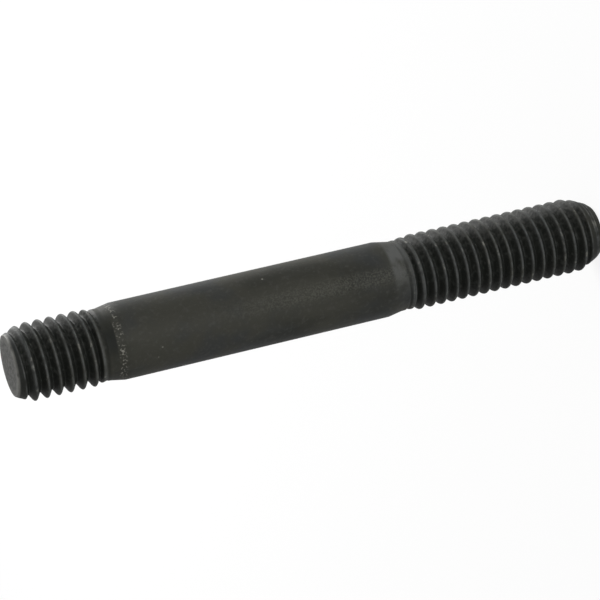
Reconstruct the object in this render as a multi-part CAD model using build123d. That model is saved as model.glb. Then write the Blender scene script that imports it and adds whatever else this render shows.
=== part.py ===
from build123d import *
import math
import os

# Double ended stud, M8, turned and thread-rolled from one bar. Millimetres.
# The axis is Z. The origin is the centre of the nut end's face, and the metal
# end, the one that screws into a tapped hole, points to +Z.

# Whole stud
overall_length = 65.0
nominal_d = 8.0
pitch = 1.25
flank_angle = 60.0
crest_allowance = 0.04
neck_d = 7.44

# Nut end, lengths from its own face
nut_face_d = 5.4
nut_edge_d = 6.15
nut_edge_length = 0.45
nut_chamfer_end = 2.45
nut_thread_length = 22.2
nut_crest_runout = 1.15
nut_neck_length = 1.0
nut_taper_length = 1.55
nut_start_angle = 139.0

# Metal end, lengths from its own face
metal_face_d = 6.35
metal_chamfer_end = 1.65
metal_thread_length = 9.05
metal_crest_runout = 0.75
metal_neck_length = 0.75
metal_taper_length = 1.5
metal_start_angle = 97.0

# Derived sizes. The shank is the nominal size and the crests a little under
# it. The flanks run on to a sharp root, which clears a nut's own crests, so
# the groove is a plain V whose width follows from the flank angle.
shank_d = nominal_d
thread_major_d = nominal_d - crest_allowance
half_flank = math.radians(flank_angle / 2)
form_height = pitch / (2 * math.tan(half_flank))
root_d = nominal_d - 1.75 * form_height
cutter_d = thread_major_d + 0.12
cutter_width = (cutter_d - root_d) * math.tan(half_flank)
runout_rise = (neck_d - root_d) / 2 + 0.08


def blank():
    """The turned stud before its threads, as one revolved profile."""
    nut_neck_end = nut_thread_length + nut_neck_length
    metal_neck_end = metal_thread_length + metal_neck_length
    top = overall_length
    profile = [
        (0, 0),
        (nut_face_d / 2, 0),
        (nut_edge_d / 2, nut_edge_length),
        (thread_major_d / 2, nut_chamfer_end),
        (thread_major_d / 2, nut_thread_length - nut_crest_runout),
        (neck_d / 2, nut_thread_length),
        (neck_d / 2, nut_neck_end),
        (shank_d / 2, nut_neck_end + nut_taper_length),
        (shank_d / 2, top - metal_neck_end - metal_taper_length),
        (neck_d / 2, top - metal_neck_end),
        (neck_d / 2, top - metal_thread_length),
        (thread_major_d / 2, top - metal_thread_length + metal_crest_runout),
        (thread_major_d / 2, top - metal_chamfer_end),
        (metal_face_d / 2, top),
        (0, top),
    ]
    return revolve(make_face(Plane.XZ * Polyline(*profile, close=True)), Axis.Z)


def wound(diameter, z_from, turns, rise, angle):
    """A helix about Z whose radius grows by rise over each turn."""
    cone = math.degrees(math.atan2(rise, pitch))
    slant = pitch / math.cos(math.radians(cone))
    helix = Helix(slant, turns * pitch, diameter / 2, (0, 0, z_from), cone_angle=cone)
    return helix.edge().rotate(Axis.Z, angle)


def groove_part(z_from, turns, rise, angle):
    """Both flanks and the outer side of a V wound about Z, and its end sections."""
    corners = [
        wound(root_d, z_from, turns, rise, angle),
        wound(cutter_d, z_from + cutter_width / 2, turns, rise, angle),
        wound(cutter_d, z_from - cutter_width / 2, turns, rise, angle),
    ]
    pairs = zip(corners, corners[1:] + corners[:1])
    sides = [Face.make_surface_from_curves(a, b) for a, b in pairs]
    first = Face(Polyline(*[c @ 0 for c in corners], close=True).wire())
    last = Face(Polyline(*[c @ 1 for c in corners], close=True).wire())
    return sides, first, last


def groove(full_end, angle):
    """One thread's groove from below its end face, lifting out past full_end.

    Each piece is a turn or less, so that every flank meets the blank once a turn.
    """
    turns = full_end / pitch + 1
    pieces = math.ceil(turns)
    step = turns / pieces
    faces = []
    for i in range(pieces):
        z_from = (i * step - 1) * pitch
        sides, low, _ = groove_part(z_from, step, 0, angle + 360 * i * step)
        faces += [low, *sides] if i == 0 else sides
    sides, _, last = groove_part(full_end, 1, runout_rise, angle + 360 * turns)
    return Solid(Shell([*faces, *sides, last]))


nut_groove = groove(nut_thread_length - nut_crest_runout, nut_start_angle)
metal_groove = groove(metal_thread_length - metal_crest_runout, metal_start_angle)
metal_groove = Pos(0, 0, overall_length) * Rot(180, 0, 0) * metal_groove

stud = (blank() - nut_groove - metal_groove).solid()
stud.label = "stud"

os.makedirs("parts", exist_ok=True)
export_step(stud, "parts/stud.step")
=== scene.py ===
import math

import bmesh
import bpy
import numpy as np
from mathutils import Matrix, Vector


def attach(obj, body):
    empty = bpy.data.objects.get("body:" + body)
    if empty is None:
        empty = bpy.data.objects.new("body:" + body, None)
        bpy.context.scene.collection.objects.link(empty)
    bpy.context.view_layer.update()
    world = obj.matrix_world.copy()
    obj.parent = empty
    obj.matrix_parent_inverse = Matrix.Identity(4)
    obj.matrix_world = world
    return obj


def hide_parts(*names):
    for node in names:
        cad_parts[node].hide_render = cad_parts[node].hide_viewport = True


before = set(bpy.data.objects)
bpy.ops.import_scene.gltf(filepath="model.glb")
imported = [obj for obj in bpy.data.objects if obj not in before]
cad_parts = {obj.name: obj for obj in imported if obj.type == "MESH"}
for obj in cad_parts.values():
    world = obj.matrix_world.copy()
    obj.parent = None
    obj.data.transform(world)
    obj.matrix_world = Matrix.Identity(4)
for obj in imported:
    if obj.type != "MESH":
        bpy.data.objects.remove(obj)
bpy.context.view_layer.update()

# The stud's form, in millimetres.
LENGTH = 65.0
PITCH = 1.25
SHANK_R = 4.0
CREST_R = 3.98
NECK_R = 3.72
ROOT_R = 3.233
ROOT_ROUND = 0.104
CREST_ROUND = 0.2
CORNER_ROUND = 0.12
RIM = 0.035

# How a groove leaves the stud in its last turn: it rises, closes up and flattens.
RUNOUT_LIFT = 0.33
RUNOUT_PITCH = 0.85
RUNOUT_FLATTER = 0.6
RUNOUT_TURNS = 3

# Each end is drawn from its own face. The profile's points are (height, radius). The
# groove begins at the angle start and keeps its full depth up to full_end.
NUT = {
    "profile": [(0, 2.7), (0.45, 3.075), (2.45, CREST_R), (21.05, CREST_R),
                (22.2, NECK_R), (23.2, NECK_R), (24.75, SHANK_R)],
    "start": math.radians(139),
    "full_end": 21.75,
}
METAL = {
    "profile": [(0, 3.175), (1.65, CREST_R), (8.3, CREST_R),
                (9.05, NECK_R), (9.8, NECK_R), (11.3, SHANK_R)],
    "start": math.radians(97),
    "full_end": 8.3,
}

# The mesh. The two shortest lengths are in metres.
COLUMNS = 96
ROWS_PER_PITCH = 24
SHANK_ROWS = 48
FACE_SHARES = (0.7, 0.35)
MERGE = 2e-6
NO_LENGTH = 1e-7

# Where the crest, groove and rim marks are 0 and where they are 1, as depths or distances in
# millimetres.
CREST_CORNER = (0.30, 0.18)
CREST_FADING = (1.1, 0.5)
CREST_DEPTH = (0.09, 0)
GROOVE_DEPTH = (0.02, 0.18)
RIM_REACH = (0.26, 0)

# Marks as bands in millimetres: low, high and, where it is given, how far they fade.
# All but the second, which lies across the painted highlight, are heights above the nut end's
# face.
# Painted highlight: where the lighter, glittering streak along the front of the shank lies.
HIGHLIGHT_BAND = (26, 34, 14)
HIGHLIGHT_ACROSS = (-0.1, 0.6, 1.0)
RUBBED = (22.7, 24.2, 0.5)
# Painted shade: where the darker patch on the metal end's taper lies, where it catches no
# reflection.
PAINTED_SHADE_BAND = (54.7, 55.6)
NUT_CHAMFER = (-0.1, 1.6)
METAL_CHAMFER = (LENGTH - 1.7, LENGTH + 0.1)
SPECK_RING = (54.05, 54.35, 0.35)

# The faces' colour begins and is complete this far from them; the painted highlight along the
# front fades in over the next length of x, and the pale flecks, a painted sheen on the upper
# side, over the last span of y, in millimetres.
FACE_SKIN = (0.08, 0.01)
HIGHLIGHT_FADE = 3
SHEEN_SIDE = (-1.5, 3.6)

# Marks round one point of the shank: height, angle in degrees, size, strength.
RUBBED_SPOT = (23.6, 30, 5.0, 1.0)
# Painted shade round this point of the metal end's taper.
PAINTED_SHADE_SPOT = (55.1, 4, 3.4, 1.0)
SCUFFS = [(38.1, 44, 0.15, 0.8), (50.1, -24, 0.14, 0.5), (50.6, -39, 0.12, 0.35)]

# Linear colours of the oxide and of the steel that shows through it; some also serve as
# painted highlights and painted shade.
OLIVE = (0.032, 0.032, 0.0265, 1)
COOL = (0.027, 0.0285, 0.028, 1)
DARK = (0.018, 0.0185, 0.0155, 1)
PALE = (0.052, 0.052, 0.048, 1)
# The colour of the painted highlight along the front of the shank.
PAINTED_HIGHLIGHT = (0.060, 0.060, 0.050, 1)
ROOT = (0.010, 0.011, 0.0095, 1)
FLANK = (0.026, 0.0275, 0.025, 1)
# Worn crests, and partly a painted highlight along the crest lines.
CREST_WEAR_AND_HIGHLIGHT = (0.060, 0.063, 0.061, 1)
RUB = (0.072, 0.074, 0.071, 1)
FACE = (0.050, 0.051, 0.047, 1)
BARE = (0.100, 0.100, 0.095, 1)
# A burr's colour, partly also a painted highlight along the metal end's rim.
RIM_BURR_AND_HIGHLIGHT = (0.19, 0.19, 0.175, 1)
SPECK = (0.20, 0.195, 0.17, 1)
WHITE = (1, 1, 1, 1)

# The surface; the grit's height is in millimetres.
ROUGHNESS = 0.56
SPECULAR = 0.05
GRIT_STRENGTH = 0.6
GRIT_HEIGHT = 0.03
GRIT_IN_GROOVES = 1.2

# The studio, in metres.
FLOOR_SIZE = 6.0
FLOOR_DROP = 0.00002
FLOOR_ROUGHNESS = 0.9
FLOOR_GLOW = 0.86
WORLD_LIGHT = 0.28
LAMP_TARGET = (0, 0, 0.03)
KEY = {"place": (-0.386, 0.460, 0.20), "size": 0.45, "power": 8.0}
FRONT = {"place": (0.60, 0, 0.02), "size": 0.08, "power": 3.0}

# The camera, in millimetres. The stud's axis slopes across the picture and tips
# towards it.
LENS = 153.57
SENSOR = 36
CLIP_START = 10
AXIS_SLOPE = math.radians(-13.17)
AXIS_TIP = math.radians(17.79)
DISTANCE = 264.72
DOWN_OFFSET = -0.175
CENTRE_Z = 33.707


def blank_r(z, points):
    """The turned radius at z, with the profile's corners rounded over."""
    zs, rs = zip(*points)
    steps = np.linspace(-1, 1, 9)
    return sum(np.interp(z + CORNER_ROUND * s, zs, rs) for s in steps) / len(steps)


def groove_r(z, angle, start, full_end):
    """The rolled groove: 60 degree flanks, a rounded root, fading past full_end."""
    past = np.maximum(z - full_end, 0) / RUNOUT_PITCH
    turn = np.minimum(z, full_end) / PITCH + past - (angle - start) / (2 * math.pi)
    away = np.abs(turn - np.round(turn)) * PITCH
    lift = RUNOUT_LIFT * np.minimum(past, RUNOUT_TURNS)
    flank = math.sqrt(3) * (1 - RUNOUT_FLATTER * np.minimum(past, 1))
    return ROOT_R + flank * (np.hypot(away, ROOT_ROUND) - ROOT_ROUND) + lift


def smooth_min(a, b, k):
    """The smaller of a and b, rounded over where they are within k of each other."""
    h = np.maximum(k - np.abs(a - b), 0) / k
    return np.minimum(a, b) - h * h * k / 4


def ramp(value, low, high):
    """0 at low and 1 at high, and the same beyond them."""
    return np.clip((value - low) / (high - low), 0, 1)


def on_circle(r, angle, z):
    """Points at radius r and height z round the axis."""
    return np.stack([r * np.cos(angle), r * np.sin(angle), z + 0 * angle], -1)


def end_grid(end):
    """Rows that follow the helix, squeezed flat at the end's face and at the shank."""
    z_end = end["profile"][-1][0]
    count = math.ceil(z_end / PITCH + 2) * ROWS_PER_PITCH
    angle = 2 * math.pi * np.arange(COLUMNS) / COLUMNS
    row = np.arange(count + 1) / ROWS_PER_PITCH
    z = PITCH * (row[:, None] - 1 + angle[None, :] / (2 * math.pi))
    z = np.clip(z, RIM, z_end)
    angle = np.broadcast_to(angle, z.shape)
    groove = groove_r(z, angle, end["start"], end["full_end"])
    r = smooth_min(blank_r(z, end["profile"]), groove, CREST_ROUND)
    r = np.where(z >= z_end, SHANK_R, r)
    return angle, z, r


def ring_faces(start, below, above, shift=0):
    """Quads between two rows of COLUMNS points; shift is the row step at the seam."""
    for j in range(COLUMNS):
        k = (j + 1) % COLUMNS
        step = shift * COLUMNS if k == 0 else 0
        yield [start + below * COLUMNS + j, start + below * COLUMNS + k + step,
               start + above * COLUMNS + k + step, start + above * COLUMNS + j]


def helix_faces(rows):
    """Quads between rows on the helix. At the seam a row meets the one a pitch further
    up, or the last row where there is none."""
    top = (rows - 1) * COLUMNS
    faces = []
    for i in range(rows - 1):
        quads = list(ring_faces(0, i, i + 1, ROWS_PER_PITCH))
        quads[-1] = [min(v, top) if v % COLUMNS == 0 else v for v in quads[-1]]
        faces += quads
    return faces


def end_part(end):
    """Points and faces of one threaded end with its flat face, in its own frame."""
    angle, z, r = end_grid(end)
    side = on_circle(r, angle, z).reshape(-1, 3)
    rim = r[0]
    rings = [rim - RIM, rim - 3 * RIM] + [rim * share for share in FACE_SHARES]
    flat = [on_circle(rim, angle[0], RIM)]
    flat += [on_circle(ring, angle[0], 0) for ring in rings]
    faces = helix_faces(len(z))
    for n in range(len(rings)):
        faces += list(ring_faces(len(side), n + 1, n))
    inner = len(side) + len(rings) * COLUMNS
    faces.append(list(range(inner, inner + COLUMNS)))
    return np.vstack([side, *flat]), faces


def shank_part(low, high):
    """Points and faces of the plain shank between two heights."""
    turn = 2 * math.pi * np.arange(COLUMNS) / COLUMNS
    points = [(SHANK_R * math.cos(t), SHANK_R * math.sin(t), z)
              for z in np.linspace(low, high, SHANK_ROWS + 1) for t in turn]
    faces = [f for i in range(SHANK_ROWS) for f in ring_faces(0, i, i + 1)]
    return np.array(points), faces


def stud_mesh():
    """Points in millimetres and faces of the whole stud, its three parts end to end."""
    nut_points, nut_faces = end_part(NUT)
    metal_points, metal_faces = end_part(METAL)
    metal_points = metal_points * [1, -1, -1] + [0, 0, LENGTH]
    nut_end = NUT["profile"][-1][0]
    metal_end = LENGTH - METAL["profile"][-1][0]
    shank_points, shank_faces = shank_part(nut_end, metal_end)
    points, faces = [], []
    for some, quads in ((nut_points, nut_faces), (shank_points, shank_faces),
                        (metal_points, metal_faces)):
        faces += [[v + len(points) for v in q] for q in quads]
        points += some.tolist()
    return points, faces


def build_stud():
    """The stud as one closed smooth mesh, in metres."""
    points, faces = stud_mesh()
    mesh = bpy.data.meshes.new("stud_fine")
    mesh.from_pydata([Vector(p) / 1000 for p in points], [], faces)
    work = bmesh.new()
    work.from_mesh(mesh)
    bmesh.ops.remove_doubles(work, verts=work.verts, dist=MERGE)
    bmesh.ops.dissolve_degenerate(work, edges=work.edges, dist=NO_LENGTH)
    bmesh.ops.recalc_face_normals(work, faces=work.faces)
    work.to_mesh(mesh)
    work.free()
    mesh.polygons.foreach_set("use_smooth", [True] * len(mesh.polygons))
    piece = bpy.data.objects.new("stud_fine", mesh)
    bpy.context.collection.objects.link(piece)
    return piece


def mark(piece, name, values):
    """Keeps one number for each of the mesh's points, for the material to read."""
    layer = piece.data.attributes.new(name, "FLOAT", "POINT")
    layer.data.foreach_set("value", np.asarray(values, dtype=np.float32))


def mark_crest_groove_rim(piece):
    """crest is 1 on the threads' crests, groove is 1 down in the grooves, and rim is 1
    round the edge of the metal end's face."""
    co = np.empty(len(piece.data.vertices) * 3)
    piece.data.vertices.foreach_get("co", co)
    x, y, z = (co.reshape(-1, 3) * 1000).T
    metal = z > LENGTH / 2
    r = np.hypot(x, y)
    from_face = np.where(metal, LENGTH - z, z)
    angle = np.arctan2(np.where(metal, -y, y), x)
    blank = np.where(metal, blank_r(from_face, METAL["profile"]),
                     blank_r(from_face, NUT["profile"]))
    start = np.where(metal, METAL["start"], NUT["start"])
    full_end = np.where(metal, METAL["full_end"], NUT["full_end"])
    groove = groove_r(from_face, angle, start, full_end)
    depth = blank - r
    corner = ramp(np.abs(groove - blank), *CREST_CORNER)
    fading = ramp(from_face - full_end, *CREST_FADING)
    mark(piece, "crest", corner * fading * ramp(depth, *CREST_DEPTH))
    mark(piece, "groove", ramp(depth, *GROOVE_DEPTH))
    from_rim = np.hypot(r - METAL["profile"][0][1], z - LENGTH + RIM)
    mark(piece, "rim", ramp(from_rim, *RIM_REACH))


class Shader:
    """Short calls for making and joining a material's nodes."""

    def __init__(self, name):
        self.material = bpy.data.materials.new(name)
        self.material.use_nodes = True
        self.tree = self.material.node_tree
        self.nodes = self.tree.nodes
        self.principled = self.nodes["Principled BSDF"]
        self.colour = WHITE

    def node(self, kind, **fields):
        made = self.nodes.new(kind)
        for key, value in fields.items():
            setattr(made, key, value)
        return made

    def link(self, source, target):
        self.tree.links.new(source, target)

    def put(self, socket, value):
        """Joins a node's output to the socket, or sets the socket to a plain value."""
        if isinstance(value, bpy.types.NodeSocket):
            self.link(value, socket)
        else:
            socket.default_value = value

    def noise(self, scale, detail=3.0, stretch=(1, 1, 1)):
        place = self.node("ShaderNodeMapping")
        place.inputs["Scale"].default_value = stretch
        self.link(self.node("ShaderNodeTexCoord").outputs["Object"], place.inputs["Vector"])
        noise = self.node("ShaderNodeTexNoise")
        noise.inputs["Scale"].default_value = scale
        noise.inputs["Detail"].default_value = detail
        self.link(place.outputs["Vector"], noise.inputs["Vector"])
        return noise.outputs["Fac"]

    def band(self, value, low, high):
        """0 at low and 1 at high, smoothly, and the same beyond them."""
        made = self.node("ShaderNodeMapRange", interpolation_type="SMOOTHSTEP")
        self.put(made.inputs["Value"], value)
        made.inputs["From Min"].default_value = low
        made.inputs["From Max"].default_value = high
        return made.outputs["Result"]

    def spots(self, low, high, scale, detail=3.0):
        """Noise cut to spots: all of it below low is 0 and all above high is 1."""
        return self.band(self.noise(scale, detail), low, high)

    def math(self, operation, a, b):
        made = self.node("ShaderNodeMath", operation=operation)
        self.put(made.inputs[0], a)
        self.put(made.inputs[1], b)
        return made.outputs[0]

    def mix(self, factor, a, b):
        made = self.node("ShaderNodeMix", data_type="RGBA")
        self.put(made.inputs[0], factor)
        self.put(made.inputs[6], a)
        self.put(made.inputs[7], b)
        return made.outputs[2]

    def cover(self, paint, *amounts):
        """Lays paint over the colour so far, by the product of the amounts."""
        amount = amounts[0]
        for more in amounts[1:]:
            amount = self.math("MULTIPLY", amount, more)
        self.colour = self.mix(amount, self.colour, paint)

    def attribute(self, name):
        return self.node("ShaderNodeAttribute", attribute_name=name).outputs["Fac"]

    def place(self, axis):
        """Where a point is along x, y or z (0, 1 or 2), in metres."""
        split = self.node("ShaderNodeSeparateXYZ")
        self.link(self.node("ShaderNodeTexCoord").outputs["Object"], split.inputs[0])
        return split.outputs[axis]

    def zone(self, value, low, high, edge=0.2):
        """1 between two places in millimetres, fading out over edge beyond them."""
        up = self.band(value, (low - edge) / 1000, low / 1000)
        down = self.band(value, high / 1000, (high + edge) / 1000)
        return self.math("MULTIPLY", up, self.math("SUBTRACT", 1.0, down))

    def near(self, z, angle, size, strength):
        """strength at that height and angle on the shank, fading out over size."""
        turn = math.radians(angle)
        spot = (SHANK_R * math.cos(turn) / 1000, SHANK_R * math.sin(turn) / 1000, z / 1000)
        gap = self.node("ShaderNodeVectorMath", operation="DISTANCE")
        self.link(self.node("ShaderNodeTexCoord").outputs["Object"], gap.inputs[0])
        gap.inputs[1].default_value = spot
        return self.math("MULTIPLY", self.band(gap.outputs["Value"], size / 1000, 0), strength)


def oxide(s):
    """Olive and cool clouds, with darker patches and a fine pale grain."""
    s.colour = OLIVE
    s.cover(COOL, s.spots(0.42, 0.58, 130))
    s.cover(DARK, s.band(s.noise(260, 4, (1, 1, 0.35)), 0.45, 0.70), 0.7)
    s.cover(PALE, s.spots(0.50, 0.75, 2600, 8), 0.35)


def painted_light_and_rub(s):
    """A painted highlight along the front of the shank, a rubbed mark on the nut end's neck
    taper, and painted shade on the metal end's.
    """
    z = s.place(2)
    front = s.math("MULTIPLY", s.band(s.place(0), 0, HIGHLIGHT_FADE / 1000),
                   s.zone(s.place(1), *HIGHLIGHT_ACROSS))
    # Painted highlight: a glittering lighter streak along the front of the shank, fading in
    # towards the front.
    s.cover(PAINTED_HIGHLIGHT, front, s.zone(z, *HIGHLIGHT_BAND), s.spots(0.36, 0.68, 5600), 0.6)
    s.cover(RUB, s.zone(z, *RUBBED), s.near(*RUBBED_SPOT), s.spots(0.25, 0.60, 600, 5))
    # Painted shade: a darker patch on the metal end's taper, in the root colour.
    s.cover(ROOT, s.zone(z, *PAINTED_SHADE_BAND), s.near(*PAINTED_SHADE_SPOT))


def chamfers(s):
    """Both ends' chamfers, a little darker."""
    z = s.place(2)
    both = s.math("MAXIMUM", s.zone(z, *METAL_CHAMFER), s.zone(z, *NUT_CHAMFER))
    s.cover(ROOT, both, 0.5)


def threads(s):
    """Dark grooves, worn crests that are partly a painted highlight, bright nicks, and pale
    flecks as a painted sheen on the upper side.
    """
    crest = s.attribute("crest")
    groove = s.attribute("groove")
    # Painted sheen: the upper side, which the light from above makes lighter.
    sheen_side = s.band(s.place(1), *(y / 1000 for y in SHEEN_SIDE))
    s.cover(s.mix(s.spots(0.50, 0.75, 1700, 5), ROOT, FLANK), groove)
    # Worn crests, partly a painted highlight along the crest lines.
    s.cover(CREST_WEAR_AND_HIGHLIGHT, crest, s.spots(0.25, 0.65, 1300, 5))
    # Painted sheen: pale flecks in the grooves, fading in towards the upper side.
    s.cover(PALE, groove, sheen_side, s.spots(0.40, 0.68, 2300, 6), 0.6)
    s.cover(SPECK, crest, s.spots(0.58, 0.72, 1100), 0.5)


def end_faces(s):
    """Mottled flat faces, and a bright rim round the metal end's, partly a burr and partly a
    painted highlight.
    """
    z = s.place(2)
    metal = s.band(z, *((LENGTH - skin) / 1000 for skin in FACE_SKIN))
    nut = s.band(z, *(skin / 1000 for skin in FACE_SKIN))
    mottled = s.mix(s.spots(0.38, 0.62, 2400, 5), FACE, BARE)
    s.cover(mottled, s.math("MAXIMUM", metal, nut))
    # The bright rim: partly a burr, partly a painted highlight.
    s.cover(RIM_BURR_AND_HIGHLIGHT, s.attribute("rim"), s.spots(0.15, 0.62, 600), 0.85)


def pale_specks(s):
    """A ring of specks where the metal end's taper meets the shank, and the scuffs."""
    s.cover(SPECK, s.zone(s.place(2), *SPECK_RING), s.spots(0.54, 0.66, 4400, 2), 0.7)
    for scuff in SCUFFS:
        s.cover(SPECK, s.near(*scuff))


def grit(s):
    """A fine bump, coarser down in the grooves."""
    coarser = s.math("ADD", s.math("MULTIPLY", s.attribute("groove"), GRIT_IN_GROOVES), 1.0)
    height = s.math("MULTIPLY", s.math("SUBTRACT", s.noise(3400, 8), 0.5), coarser)
    bump = s.node("ShaderNodeBump")
    bump.inputs["Strength"].default_value = GRIT_STRENGTH
    bump.inputs["Distance"].default_value = GRIT_HEIGHT / 1000
    s.link(height, bump.inputs["Height"])
    s.link(bump.outputs["Normal"], s.principled.inputs["Normal"])


def black_oxide():
    """The stud's one material. Each call lays its marks over those before it."""
    s = Shader("black_oxide")
    oxide(s)
    painted_light_and_rub(s)
    chamfers(s)
    threads(s)
    end_faces(s)
    pale_specks(s)
    grit(s)
    s.link(s.colour, s.principled.inputs["Base Color"])
    s.principled.inputs["Metallic"].default_value = 0.0
    s.principled.inputs["Roughness"].default_value = ROUGHNESS
    s.principled.inputs["Specular IOR Level"].default_value = SPECULAR
    return s.material


def seen_directly(tree):
    """1 for rays that show the backdrop: from the camera, mirrored or through glass."""
    path = tree.nodes.new("ShaderNodeLightPath")
    total = path.outputs["Is Camera Ray"]
    for name in ("Is Glossy Ray", "Is Transmission Ray"):
        most = tree.nodes.new("ShaderNodeMath")
        most.operation = "MAXIMUM"
        tree.links.new(total, most.inputs[0])
        tree.links.new(path.outputs[name], most.inputs[1])
        total = most.outputs[0]
    return total


def white_floor():
    """White where it is seen, with part of the object's shadow kept on it."""
    s = Shader("white_floor")
    s.principled.inputs["Base Color"].default_value = WHITE
    s.principled.inputs["Roughness"].default_value = FLOOR_ROUGHNESS
    s.principled.inputs["Specular IOR Level"].default_value = 0.0
    glow = s.node("ShaderNodeEmission")
    mix = s.node("ShaderNodeMixShader")
    s.link(s.math("MULTIPLY", seen_directly(s.tree), FLOOR_GLOW), mix.inputs[0])
    s.link(s.principled.outputs[0], mix.inputs[1])
    s.link(glow.outputs[0], mix.inputs[2])
    s.link(mix.outputs[0], s.nodes["Material Output"].inputs["Surface"])
    return s.material


def build_floor():
    """A square sheet a hair below the stud, so that the two faces don't share a plane."""
    mesh = bpy.data.meshes.new("floor")
    corners = [(x * FLOOR_SIZE, y * FLOOR_SIZE, -FLOOR_DROP)
               for x, y in ((-1, -1), (1, -1), (1, 1), (-1, 1))]
    mesh.from_pydata(corners, [], [(0, 1, 2, 3)])
    floor = bpy.data.objects.new("floor", mesh)
    bpy.context.collection.objects.link(floor)
    mesh.materials.append(white_floor())


def build_world():
    """An even light from all round, white where it is seen."""
    world = bpy.data.worlds.new("studio")
    world.use_nodes = True
    tree = world.node_tree
    sky = tree.nodes["Background"]
    sky.inputs["Color"].default_value = WHITE
    sky.inputs["Strength"].default_value = WORLD_LIGHT
    plain = tree.nodes.new("ShaderNodeBackground")
    plain.inputs["Color"].default_value = WHITE
    mix = tree.nodes.new("ShaderNodeMixShader")
    tree.links.new(seen_directly(tree), mix.inputs[0])
    tree.links.new(sky.outputs[0], mix.inputs[1])
    tree.links.new(plain.outputs[0], mix.inputs[2])
    tree.links.new(mix.outputs[0], tree.nodes["World Output"].inputs["Surface"])
    bpy.context.scene.world = world


def area_lamp(name, place, size, power):
    """A round lamp at place, aimed at the stud."""
    data = bpy.data.lights.new(name, "AREA")
    data.shape = "DISK"
    data.size = size
    data.energy = power
    lamp = bpy.data.objects.new(name, data)
    lamp.location = place
    way = Vector(LAMP_TARGET) - Vector(place)
    lamp.rotation_euler = way.to_track_quat("-Z", "Y").to_euler()
    bpy.context.collection.objects.link(lamp)


def build_camera():
    """Camera axes are right, down and forward; away is the way to the nut end."""
    away = Vector((math.cos(AXIS_TIP) * math.cos(AXIS_SLOPE),
                   math.cos(AXIS_TIP) * math.sin(AXIS_SLOPE), math.sin(AXIS_TIP)))
    near = Vector((0, 0, -1))
    x_axis = (near - near.dot(away) * away).normalized()
    z_axis = -away
    y_axis = z_axis.cross(x_axis)
    to_row = Matrix((x_axis, y_axis, z_axis))
    origin = Vector((0, DOWN_OFFSET, DISTANCE)) + CENTRE_Z * away
    place = to_row @ -origin
    right, down, ahead = (to_row.col[i] for i in range(3))
    turn = Matrix((right, -down, -ahead)).transposed()
    data = bpy.data.cameras.new("camera")
    data.lens = LENS
    data.sensor_width = SENSOR
    data.clip_start = CLIP_START / 1000
    camera = bpy.data.objects.new("camera", data)
    camera.matrix_world = Matrix.Translation(place / 1000) @ turn.to_4x4()
    bpy.context.collection.objects.link(camera)
    bpy.context.scene.camera = camera


stud = build_stud()
mark_crest_groove_rim(stud)
stud.data.materials.append(black_oxide())
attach(stud, "root")
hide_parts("stud")

build_floor()
build_world()
area_lamp("key", **KEY)
area_lamp("front", **FRONT)
build_camera()

bpy.context.scene.view_settings.view_transform = "Standard"
